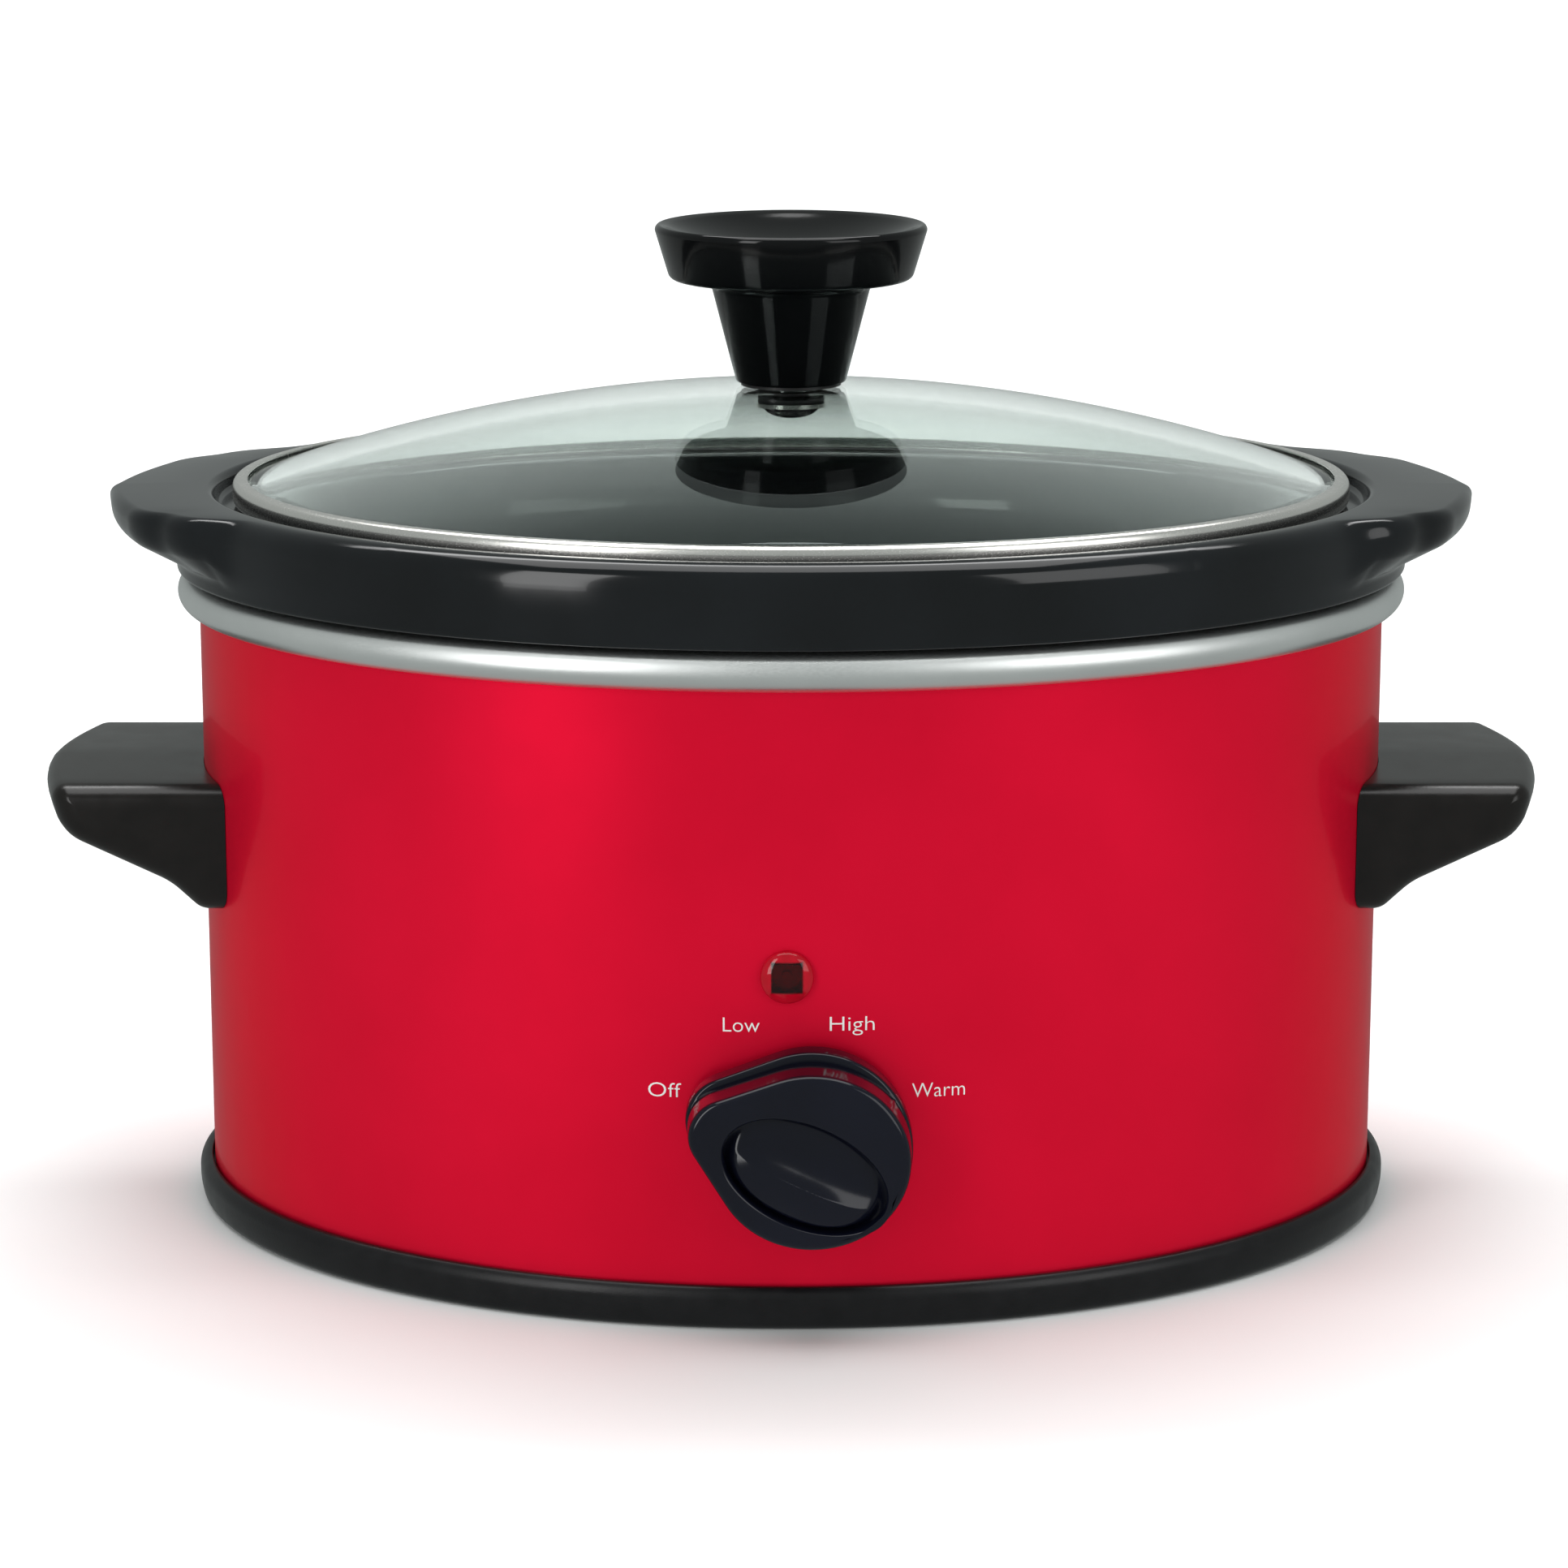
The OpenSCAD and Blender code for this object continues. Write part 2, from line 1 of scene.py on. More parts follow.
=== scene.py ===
"""Looks of a small oval slow cooker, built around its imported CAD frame.

The frame is in metres, Z is up and the controls face -Y. Outlines here are drawn in millimetres
and scaled by MM when their mesh is made.
"""

import math

import bmesh
import bpy
from mathutils import Matrix, Vector


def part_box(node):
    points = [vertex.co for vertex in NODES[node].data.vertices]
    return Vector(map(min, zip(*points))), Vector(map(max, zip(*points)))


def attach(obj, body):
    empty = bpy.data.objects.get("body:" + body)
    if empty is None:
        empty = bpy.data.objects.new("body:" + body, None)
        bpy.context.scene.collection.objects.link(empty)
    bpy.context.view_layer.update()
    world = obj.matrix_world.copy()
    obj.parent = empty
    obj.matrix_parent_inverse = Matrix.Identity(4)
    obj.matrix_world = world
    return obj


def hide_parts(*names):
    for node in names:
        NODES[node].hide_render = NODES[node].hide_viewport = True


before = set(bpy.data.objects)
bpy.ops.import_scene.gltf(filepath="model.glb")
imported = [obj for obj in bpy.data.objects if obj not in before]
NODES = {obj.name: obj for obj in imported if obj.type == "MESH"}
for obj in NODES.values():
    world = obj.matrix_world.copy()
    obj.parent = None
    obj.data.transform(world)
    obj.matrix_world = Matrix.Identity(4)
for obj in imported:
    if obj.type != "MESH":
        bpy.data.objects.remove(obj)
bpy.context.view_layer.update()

MM = 0.001
STEPS = 6           # points in a rounded corner
ROUND = 128         # points around a round part
OVAL_ROUND = 384    # points around an oval part
SHARP_MOULDED = 50  # edges sharper than this many degrees stay sharp on the moulded and rolled parts
SHARP_HANDLE = 40   # the same for the handles and the control knob


def box_mm(node):
    """Lowest and highest corner of a CAD node, in millimetres."""
    low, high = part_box(node)
    return low / MM, high / MM


SHELL_LOW, SHELL_HIGH = box_mm("outer_shell")
WELL_LOW, WELL_HIGH = box_mm("heating_well")
CROCK_LOW, CROCK_HIGH = box_mm("crock")
GLASS_HIGH = box_mm("lid_glass")[1]
RIM_LOW, RIM_HIGH = box_mm("lid_rim")
KNOB_LOW, KNOB_HIGH = box_mm("lid_knob")
BASE_HIGH = box_mm("base_pan")[1]
HANDLE_LOW, HANDLE_HIGH = box_mm("handle_right")
LENS_LOW, LENS_HIGH = box_mm("indicator_lens")
SHAFT_LOW, SHAFT_HIGH = box_mm("switch_shaft")
DIAL_LOW, DIAL_HIGH = box_mm("control_knob")

SHELL_A = SHELL_HIGH.x
OVAL = SHELL_HIGH.y / SHELL_HIGH.x


# ---------- outlines ----------

def turn(before, corner, after, cut, steps=STEPS):
    """Points that round a corner, starting and ending at cut from it along its two edges."""
    u = (before - corner).normalized()
    v = (after - corner).normalized()
    swing = math.pi - u.angle(v, 0.0)
    pull = 2 / 3
    if swing > 0.01:
        pull = 4 / 3 * math.tan(swing / 4) / math.tan(swing / 2)
    a, d = corner + u * cut, corner + v * cut
    b, c = a - u * cut * pull, d - v * cut * pull
    points = []
    for i in range(steps + 1):
        t = i / steps
        s = 1 - t
        points.append(a * s ** 3 + b * 3 * s * s * t + c * 3 * s * t * t + d * t ** 3)
    return points


def outline(corners, closed=True, steps=STEPS):
    """An outline through (x, y, cut) corners, each rounded by its cut, or left sharp at 0."""
    flat = [Vector(c[:2]) for c in corners]
    count = len(flat)
    points = []
    for i, corner in enumerate(flat):
        cut = corners[i][2]
        inside = closed or 0 < i < count - 1
        if cut and inside:
            points += turn(flat[i - 1], corner, flat[(i + 1) % count], cut, steps)
        else:
            points.append(corner)
    return points


def arc(x, y, radius, start, end, steps=12):
    """Points of an arc, with its angles in degrees."""
    turns = [math.radians(start + (end - start) * i / steps) for i in range(steps + 1)]
    return [Vector((x + radius * math.cos(t), y + radius * math.sin(t))) for t in turns]


def sheet(path, thick):
    """Closed outline of a sheet of one thickness, on the right-hand side of a path."""
    back = []
    for i, point in enumerate(path):
        step = path[min(i + 1, len(path) - 1)] - path[max(i - 1, 0)]
        step.normalize()
        back.append(point + Vector((step.y, -step.x)) * thick)
    return path + back[::-1]


def grown(corners, amount):
    """Corners of a closed anticlockwise outline, moved outward by an amount, with their arcs in step."""
    moved = []
    count = len(corners)
    for i, (x, y, cut) in enumerate(corners):
        here = Vector((x, y))
        a = (here - Vector(corners[i - 1][:2])).normalized()
        b = (Vector(corners[(i + 1) % count][:2]) - here).normalized()
        na, nb = Vector((a.y, -a.x)), Vector((b.y, -b.x))
        mid = (na + nb).normalized()
        at = here + mid * (amount / max(0.3, mid.dot(na)))
        swing = (a.x * b.y - a.y * b.x) / (1 + a.dot(b))
        moved.append((at.x, at.y, max(0.05, cut + amount * swing) if cut else 0))
    return moved


def reach(shape, angle):
    """How far a closed outline around the origin reaches in a direction."""
    ray = Vector((math.cos(angle), math.sin(angle)))
    best = 0.0
    for a, b in zip(shape, shape[1:] + shape[:1]):
        edge = b - a
        cross = ray.x * edge.y - ray.y * edge.x
        if abs(cross) < 1e-9:
            continue
        along = (a.x * edge.y - a.y * edge.x) / cross
        share = (a.x * ray.y - a.y * ray.x) / cross
        if along > best and -1e-6 <= share <= 1 + 1e-6:
            best = along
    return best


def angles(count):
    """Angles of evenly spaced points around a full turn."""
    return [2 * math.pi * k / count for k in range(count)]


# ---------- meshes ----------

def skin(rings, closed=False, caps=False):
    """Vertices and faces that join rings of points. A ring of one point is a pole."""
    verts, faces, starts = [], [], []
    for ring in rings:
        starts.append(len(verts))
        verts += [Vector(p) * MM for p in ring]
    pairs = list(zip(range(len(rings)), range(1, len(rings))))
    if closed:
        pairs.append((len(rings) - 1, 0))
    for i, j in pairs:
        a, b = starts[i], starts[j]
        count = max(len(rings[i]), len(rings[j]))
        for k in range(count):
            n = (k + 1) % count
            if len(rings[i]) == 1:
                faces.append((a, b + n, b + k))
            elif len(rings[j]) == 1:
                faces.append((a + k, a + n, b))
            else:
                faces.append((a + k, a + n, b + n, b + k))
    if caps:
        faces.append(tuple(reversed(range(starts[0], starts[0] + len(rings[0])))))
        faces.append(tuple(range(starts[-1], starts[-1] + len(rings[-1]))))
    return verts, faces


def turned(profile, count=ROUND, squash=1.0):
    """Rings of a (radius, height) outline turned around Z, squashed along Y."""
    rings = []
    for r, z in profile:
        if r < 1e-4:
            rings.append([(0, 0, z)])
        else:
            rings.append([(r * math.cos(t), squash * r * math.sin(t), z) for t in angles(count)])
    return rings


def to_front(rings, x, z):
    """Rings built along Z, laid so that Z points out of the front at a place (x, z)."""
    return [[(x + p[0], -p[2], z + p[1]) for p in ring] for ring in rings]


def mesh_object(name, verts, faces, sharp=35):
    """A linked, smoothly shaded mesh with outward normals."""
    mesh = bpy.data.meshes.new(name)
    mesh.from_pydata(verts, [], faces)
    made = bmesh.new()
    made.from_mesh(mesh)
    bmesh.ops.remove_doubles(made, verts=made.verts, dist=1e-7)
    bmesh.ops.recalc_face_normals(made, faces=made.faces)
    made.to_mesh(mesh)
    made.free()
    obj = bpy.data.objects.new(name, mesh)
    bpy.context.scene.collection.objects.link(obj)
    smooth(obj, sharp)
    return obj


def smooth(obj, sharp=35):
    """Smooth shading, but for edges sharper than an angle in degrees."""
    obj.data.shade_smooth()
    obj.data.set_sharp_from_angle(angle=math.radians(sharp))


def cut_out(obj, cutters, sharp=35):
    """Cuts meshes out of an object for good."""
    for cutter in cutters:
        modifier = obj.modifiers.new("cut", "BOOLEAN")
        modifier.operation = "DIFFERENCE"
        modifier.solver = "EXACT"
        modifier.object = cutter
        graph = bpy.context.evaluated_depsgraph_get()
        mesh = bpy.data.meshes.new_from_object(obj.evaluated_get(graph))
        obj.modifiers.clear()
        obj.data = mesh
        bpy.data.objects.remove(cutter)
    smooth(obj, sharp)


def own(obj, body, slot, *replaced):
    """Gives a piece its material, its body and the CAD nodes that it stands for."""
    obj.data.materials.clear()
    obj.data.materials.append(LOOKS[slot])
    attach(obj, body)
    if replaced:
        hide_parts(*replaced)
    return obj


# ---------- materials ----------

class Recipe:
    """A material's nodes, placed in the object's own space so that the detail keeps its real size."""

    def __init__(self, name):
        self.material = bpy.data.materials.new(name)
        self.material.use_nodes = True
        self.tree = self.material.node_tree
        self.tree.nodes.clear()
        self.out = self.tree.nodes.new("ShaderNodeOutputMaterial")
        self.shader = self.tree.nodes.new("ShaderNodeBsdfPrincipled")
        self.link(self.shader.outputs[0], self.out.inputs["Surface"])
        self.place = self.tree.nodes.new("ShaderNodeTexCoord").outputs["Object"]

    def link(self, a, b):
        """Joins an output to an input."""
        self.tree.links.new(a, b)

    def set(self, **values):
        """Sets the shader's inputs by name, with underscores for spaces."""
        for key, value in values.items():
            self.shader.inputs[key.replace("_", " ")].default_value = value
        return self

    def noise(self, size, detail=3.0, stretch=None):
        """A noise whose spots are about this many millimetres across."""
        place = self.place
        if stretch:
            mapping = self.tree.nodes.new("ShaderNodeMapping")
            mapping.inputs["Scale"].default_value = stretch
            self.link(place, mapping.inputs["Vector"])
            place = mapping.outputs[0]
        node = self.tree.nodes.new("ShaderNodeTexNoise")
        node.inputs["Scale"].default_value = 1 / (size * MM)
        node.inputs["Detail"].default_value = detail
        self.link(place, node.inputs["Vector"])
        return node.outputs["Fac"]

    def spread(self, fac, low, high):
        """A noise's useful range mapped to a range of values."""
        node = self.tree.nodes.new("ShaderNodeMapRange")
        node.inputs["From Min"].default_value = 0.3
        node.inputs["From Max"].default_value = 0.7
        node.inputs["To Min"].default_value = low
        node.inputs["To Max"].default_value = high
        self.link(fac, node.inputs["Value"])
        return node.outputs[0]

    def maths(self, operation, *values):
        """One operation on outputs and floats."""
        node = self.tree.nodes.new("ShaderNodeMath")
        node.operation = operation
        for socket, value in zip(node.inputs, values):
            if isinstance(value, float):
                socket.default_value = value
            else:
                self.link(value, socket)
        return node.outputs[0]

    def window(self, middle, half, soft):
        """1 in a square of X and Z around a place, falling to 0 over a soft edge, in millimetres."""
        parts = self.tree.nodes.new("ShaderNodeSeparateXYZ")
        self.link(self.place, parts.inputs[0])
        away = [self.maths("SUBTRACT", parts.outputs[axis], at * MM)
                for axis, at in zip((0, 2), middle)]
        sides = [self.maths("ABSOLUTE", distance) for distance in away]
        past = self.maths("SUBTRACT", half * MM, self.maths("MAXIMUM", *sides))
        inside = self.maths("DIVIDE", past, soft * MM)
        return self.maths("MINIMUM", 1.0, self.maths("MAXIMUM", 0.0, inside))

    def tint(self, fac, dark, light):
        """A colour that wanders between two colours."""
        node = self.tree.nodes.new("ShaderNodeMix")
        node.data_type = "RGBA"
        ends = [s for s in node.inputs if s.type == "RGBA"]
        for end, colour in zip(ends, (dark, light)):
            end.default_value = (*colour, 1)
        self.link(self.spread(fac, 0.0, 1.0), node.inputs["Factor"])
        out = [s for s in node.outputs if s.type == "RGBA"][0]
        self.link(out, self.shader.inputs["Base Color"])
        return self

    def rough(self, fac, low, high):
        """A roughness that wanders between two values."""
        self.link(self.spread(fac, low, high), self.shader.inputs["Roughness"])
        return self

    def bump(self, fac, height, strength=1.0):
        """Relief of a real height in millimetres."""
        node = self.tree.nodes.new("ShaderNodeBump")
        node.inputs["Strength"].default_value = strength
        node.inputs["Distance"].default_value = height * MM
        self.link(fac, node.inputs["Height"])
        self.link(node.outputs[0], self.shader.inputs["Normal"])
        return self


def shade(colour, share):
    """A colour made darker or lighter, held at white."""
    return tuple(min(1.0, c * share) for c in colour)


def plain(name, colour, roughness, grain=0.6, relief=0.01, metal=0.0, vary=0.12, **more):
    """A material of one colour with mottling, uneven gloss and a fine relief."""
    made = Recipe(name)
    broad, fine = made.noise(grain * 12), made.noise(grain)
    made.tint(broad, shade(colour, 1 - vary), shade(colour, 1 + vary))
    made.rough(broad, roughness * 0.88, roughness * 1.12)
    made.bump(fine, relief)
    made.set(Metallic=metal, **more)
    return made.material


def painted_red():
    made = Recipe("red_paint_look")
    flake = made.noise(0.35, 1.0)
    broad = made.noise(40)
    made.tint(broad, (0.86, 0.0055, 0.036), (0.93, 0.0065, 0.042))
    made.rough(broad, 0.32, 0.36)
    made.bump(flake, 0.0012, 0.35)
    made.set(Metallic=0.55, Coat_Weight=0.22, Coat_Roughness=0.06, Coat_IOR=1.35, IOR=1.3,
             Specular_Tint=(0.6, 0.01, 0.03, 1))
    return made.material


def glazed():
    made = Recipe("black_glaze_look")
    broad, ripple = made.noise(30), made.noise(6, 1.0)
    made.tint(broad, (0.0028, 0.0035, 0.0042), (0.0055, 0.007, 0.0085))
    made.rough(broad, 0.10, 0.15)
    made.bump(ripple, 0.03, 0.35)
    made.set(Coat_Weight=0.2, Coat_Roughness=0.03, IOR=1.38)
    return made.material


def clear_glass():
    made = Recipe("lid_glass_look")
    ripple = made.noise(25, 0.0)
    made.tint(ripple, (0.83, 0.915, 0.88), (0.855, 0.93, 0.90))
    made.bump(ripple, 0.05, 0.25)
    made.set(Transmission_Weight=1.0, IOR=1.5, Specular_Tint=(0.82, 1.0, 0.98, 1))
    made.rough(ripple, 0.008, 0.014)
    return made.material


def red_glass():
    """Clear red in a square in front of the lamp, and opaque red around it."""
    made = Recipe("red_lens_look")
    ripple = made.noise(2, 0.0)
    made.tint(ripple, (0.40, 0.002, 0.012), (0.46, 0.003, 0.016))
    made.rough(ripple, 0.03, 0.06)
    made.bump(ripple, 0.01, 0.3)
    middle = ((LENS_LOW.x + LENS_HIGH.x) / 2, (LENS_LOW.z + LENS_HIGH.z) / 2 + 0.2)
    made.link(made.window(middle, 2.95, 0.35), made.shader.inputs["Transmission Weight"])
    made.set(IOR=1.42)
    return made.material


def satin_metal(name, colour, low, high, stretch, relief=0.004):
    made = Recipe(name)
    grain = made.noise(0.5, 3.0, stretch)
    broad = made.noise(20)
    made.tint(broad, shade(colour, 0.96), shade(colour, 1.03))
    made.rough(grain, low, high)
    made.bump(grain, relief, 0.5)
    made.set(Metallic=1.0)
    return made.material


def make_looks():
    zinc = (0.52, 0.54, 0.55)
    return {
        "red_paint": painted_red(),
        "black_glaze": glazed(),
        "lid_glass": clear_glass(),
        "red_lens": red_glass(),
        "satin_steel": satin_metal("satin_steel_look", (0.93, 0.95, 0.94), 0.34, 0.44, (1, 1, 3)),
        "lid_steel": satin_metal("lid_steel_look", (0.97, 0.95, 0.91), 0.20, 0.28, (1, 1, 6), 0.002),
        "zinc_steel": plain("zinc_steel_look", zinc, 0.42, 0.5, 0.01, 1.0),
        "spring_steel": plain("spring_steel_look", (0.42, 0.42, 0.43), 0.3, 0.4, 0.005, 1.0),
        "shield_aluminium": satin_metal(
            "shield_aluminium_look", (0.82, 0.83, 0.84), 0.28, 0.4, (1, 8, 8)),
        "mica": plain("mica_look", (0.42, 0.35, 0.24), 0.5, 1.5, 0.04, vary=0.25),
        "heater_ribbon": plain("heater_ribbon_look", (0.30, 0.28, 0.27), 0.45, 0.6, 0.01, 1.0),
        "glass_fibre": plain("glass_fibre_look", (0.80, 0.78, 0.72), 0.9, 0.9, 0.4, vary=0.15),
        "fuse_can": plain("fuse_can_look", (0.55, 0.58, 0.62), 0.3, 0.5, 0.005, 1.0),
        "base_plastic": plain(
            "base_plastic_look", (0.006, 0.006, 0.007), 0.34, 0.35, 0.02, vary=0.2, IOR=1.38),
        "foot_rubber": plain("foot_rubber_look", (0.05, 0.05, 0.052), 0.75, 0.5, 0.03, vary=0.2),
        "handle_phenolic": plain(
            "handle_phenolic_look", (0.0060, 0.0048, 0.0042), 0.24, 0.5, 0.012, vary=0.25, IOR=1.42),
        "switch_plastic": plain("switch_plastic_look", (0.62, 0.58, 0.48), 0.45, 0.5, 0.02),
        "brass": plain("brass_look", (0.72, 0.50, 0.20), 0.3, 0.5, 0.008, 1.0),
        "lamp_glass": plain("lamp_glass_look", (0.55, 0.35, 0.22), 0.12, 0.8, 0.003,
                            Transmission_Weight=0.6),
        "resistor_body": plain("resistor_body_look", (0.30, 0.17, 0.08), 0.45, 0.6, 0.01),
        "lead_black": plain("lead_black_look", (0.015, 0.015, 0.016), 0.5, 0.4, 0.01),
        "lead_white": plain("lead_white_look", (0.78, 0.77, 0.74), 0.5, 0.4, 0.01),
        "lead_blue": plain("lead_blue_look", (0.05, 0.12, 0.42), 0.5, 0.4, 0.01),
        "lead_red": plain("lead_red_look", (0.5, 0.03, 0.03), 0.5, 0.4, 0.01),
        "connector_plastic": plain("connector_plastic_look", (0.80, 0.79, 0.76), 0.5, 0.5, 0.02),
        "gland_plastic": plain("gland_plastic_look", (0.014, 0.014, 0.015), 0.42, 0.4, 0.02),
        "knob_phenolic": plain(
            "knob_phenolic_look", (0.0018, 0.0021, 0.0024), 0.09, 3.0, 0.008, vary=0.3, IOR=1.36),
        "gasket_silicone": plain("gasket_silicone_look", (0.012, 0.012, 0.012), 0.5, 0.5, 0.01),
        "dark_screw": plain("dark_screw_look", (0.10, 0.10, 0.105), 0.25, 0.4, 0.004, 1.0),
        "control_plastic": plain(
            "control_plastic_look", (0.003, 0.0036, 0.009), 0.13, 2.5, 0.006, vary=0.3, IOR=1.42),
    }


LOOKS = make_looks()
for cad_node in NODES.values():
    for material_slot in cad_node.material_slots:
        material_slot.material = LOOKS[material_slot.material.name.split(".")[0]]


# ---------- crock ----------

SKIRT_A = WELL_HIGH.x               # the skirt is as wide as the well's roll under it
CROWN = CROCK_HIGH.z
SKIRT_LOW = WELL_HIGH.z + 0.9
LEDGE = RIM_LOW.z - 0.4
COOKING_FLOOR = CROCK_LOW.z + 6
EAR_REACH = CROCK_HIGH.x - SKIRT_A
EAR_SOFT = 2.2                      # how softly an ear grows out of the crown, in mm
# Corners of half an ear in plan, as (x, y, cut), from the crown round to the ear's tip
EAR_HALF = [
    (60, 60.2, 0), (110.6, 40, 4), (114.6, 34.8, 2), (119.8, 31.4, 4.5), (126, 15, 9), (128.5, 0, 7)]


def ear_overhang(t, shape):
    """How far the crown stands out past the skirt at an angle of the oval."""
    far = reach(shape, t) - SKIRT_A
    return 0.5 * (far + math.sqrt(far * far + EAR_SOFT ** 2)) if far > -25 else 0.0


def crock_section(over):
    """Section of the crock where its crown stands out by over, from the inside round to the foot."""
    share = min(1.0, over / EAR_REACH)
    flare = min(1.0, over / 4)
    return outline([
        (0, COOKING_FLOOR, 0), (84.4, COOKING_FLOOR, 17), (91.4, LEDGE - 9.5, 2.2),
        (96.3, LEDGE, 1.4), (107.9, LEDGE, 1.2), (108.5, CROWN, 1.3),
        (SKIRT_A + over, CROWN - 0.5 * share, 4.4 - 2.2 * share),
        (SKIRT_A + over - 0.6 * share, SKIRT_LOW + 4.3 + 4.0 * flare, 0.9 + 2.0 * share),
        (SKIRT_A, SKIRT_LOW + 1.8 + 1.0 * flare, 0.9), (SKIRT_A, SKIRT_LOW, 0.7),
        (99.4, SKIRT_LOW, 0.8),
        (98.2, SKIRT_LOW - 1.4, 0.9), (97, SKIRT_LOW - 5, 1.5), (90.6, CROCK_LOW.z, 15),
        (0, CROCK_LOW.z, 0)], closed=False, steps=8)


def make_crock():
    half = [Vector((x, y / OVAL)) for x, y in outline(EAR_HALF, closed=False, steps=10)]
    right = half + [Vector((p.x, -p.y)) for p in reversed(half[:-1])]
    turns = angles(2 * OVAL_ROUND)
    sections = []
    for t in turns:
        mirrored = t if math.cos(t) >= 0 else math.pi - t
        sections.append(crock_section(ear_overhang(mirrored, right)))
    rings = []
    for i in range(len(sections[0])):
        if sections[0][i].x < 1e-4:
            rings.append([(0, 0, sections[0][i].y)])
        else:
            rings.append([(s[i].x * math.cos(t), OVAL * s[i].x * math.sin(t), s[i].y)
                          for s, t in zip(sections, turns)])
    crock = mesh_object("stoneware_crock", *skin(rings), sharp=SHARP_MOULDED)
    return own(crock, "crock", "black_glaze", "crock")


# ---------- fixed body ----------

def make_well():
    top, roll = WELL_HIGH.z, 3.3
    centre = WELL_HIGH.x - roll
    path = outline([(0, WELL_LOW.z + 0.7, 0), (92.6, WELL_LOW.z + 0.7, 15), (99.6, top, 1.6),
                    (centre, top, 0)], closed=False, steps=10)
    path += arc(centre, top - roll, roll, 88, -125, 30)
    rings = turned(sheet(path, 0.7), OVAL_ROUND, OVAL)
    well = mesh_object("rolled_rim_well", *skin(rings), sharp=SHARP_MOULDED)
    return own(well, "base", "satin_steel", "heating_well")


def bar(x, y, low, high, radius):
    """A round cutter along Z."""
    rings = [[(x + radius * math.cos(t), y + radius * math.sin(t), z) for t in angles(32)]
             for z in (low, high)]
    return mesh_object("cutter", *skin(rings, caps=True))


def block(low, high):
    """A rectangular cutter."""
    x0, y0, z0 = low
    x1, y1, z1 = high
    rings = [[(x0, y0, z), (x1, y0, z), (x1, y1, z), (x0, y1, z)] for z in (z0, z1)]
    return mesh_object("cutter", *skin(rings, caps=True))


BASE_FLOOR = 2.6        # height of the base's floor
BASE_THICK = 2.2        # thickness of that floor
SCREW_X = 46            # places of the two screws and the four feet
FOOT_X = 72
FOOT_Y = 46


def make_base():
    """Moulded base ring with its ledge, its floor, the vent slots and the screw and foot holes."""
    wide, floor, thick = BASE_HIGH.x, BASE_FLOOR, BASE_THICK
    rings = turned(outline([
        (0, floor, 0), (107.6, floor, 0.8), (108, 0, 0.6), (wide - 0.7, 0, 1.6), (wide, 3.4, 1.2),
        (wide, 6.6, 1.2), (112.9, SHELL_LOW.z + 1.75, 0.5), (111.9, SHELL_LOW.z + 1.75, 0.2),
        (111.9, 6.0, 0), (110.4, 6.0, 0.3), (110.4, BASE_HIGH.z, 0.4), (108.6, BASE_HIGH.z, 0.4),
        (108.6, floor + thick, 0.8), (0, floor + thick, 0)], closed=False), OVAL_ROUND, OVAL)
    base = mesh_object("base_ring", *skin(rings), sharp=SHARP_MOULDED)
    cutters = [block((x - 1.5, t * 27 - 10, -1), (x + 1.5, t * 27 + 10, 9))
               for x in range(-24, 25, 12) for t in (-1, 1)]
    cutters += [bar(s * SCREW_X, 0, -1, 9, 2.1) for s in (-1, 1)]
    cutters += [bar(s * FOOT_X, t * FOOT_Y, -1, 9, 2.0) for s in (-1, 1) for t in (-1, 1)]
    cut_out(base, cutters, SHARP_MOULDED)
    return own(base, "base", "base_plastic", "base_pan")


def shell_x(y):
    """Half width of the shell at a depth y."""
    return SHELL_A * math.sqrt(1 - (y / (OVAL * SHELL_A)) ** 2)


HANDLE_EDGE = 4.0       # rounding of a handle's front and back edges, in mm
HANDLE_BOW = 5.4        # how far its outer edge curves back towards both ends
HANDLE_WALL = 3.2
HANDLE_POLE = (-112, 74)    # x and z where a handle's front and back faces meet in a fan


def handle_end(y):
    """Reach of a handle's outer edge at a depth y."""
    return HANDLE_HIGH.x - HANDLE_BOW * (abs(y) / HANDLE_HIGH.y) ** 1.8


def handle_section(y, inset):
    """Side outline of a handle at a depth y, pulled in by inset, and the shell's half width there."""
    half = HANDLE_HIGH.y
    nose = handle_end(y)
    top = HANDLE_HIGH.z - 0.5 * abs(y) / half
    shell = shell_x(y) + 0.12
    foot = HANDLE_LOW.z + 0.1
    tip = nose - 2.2
    corners = [
        (shell - 6, foot, 0), (109.8, foot, 1.6), (115.4, foot + 5.2, 2.2),
        (tip, foot + 5.2 + 0.47 * (tip - 115.4), 4.0), (nose, top, 3.5), (shell - 6, top, 0)]
    return outline(grown(corners, -inset)), shell


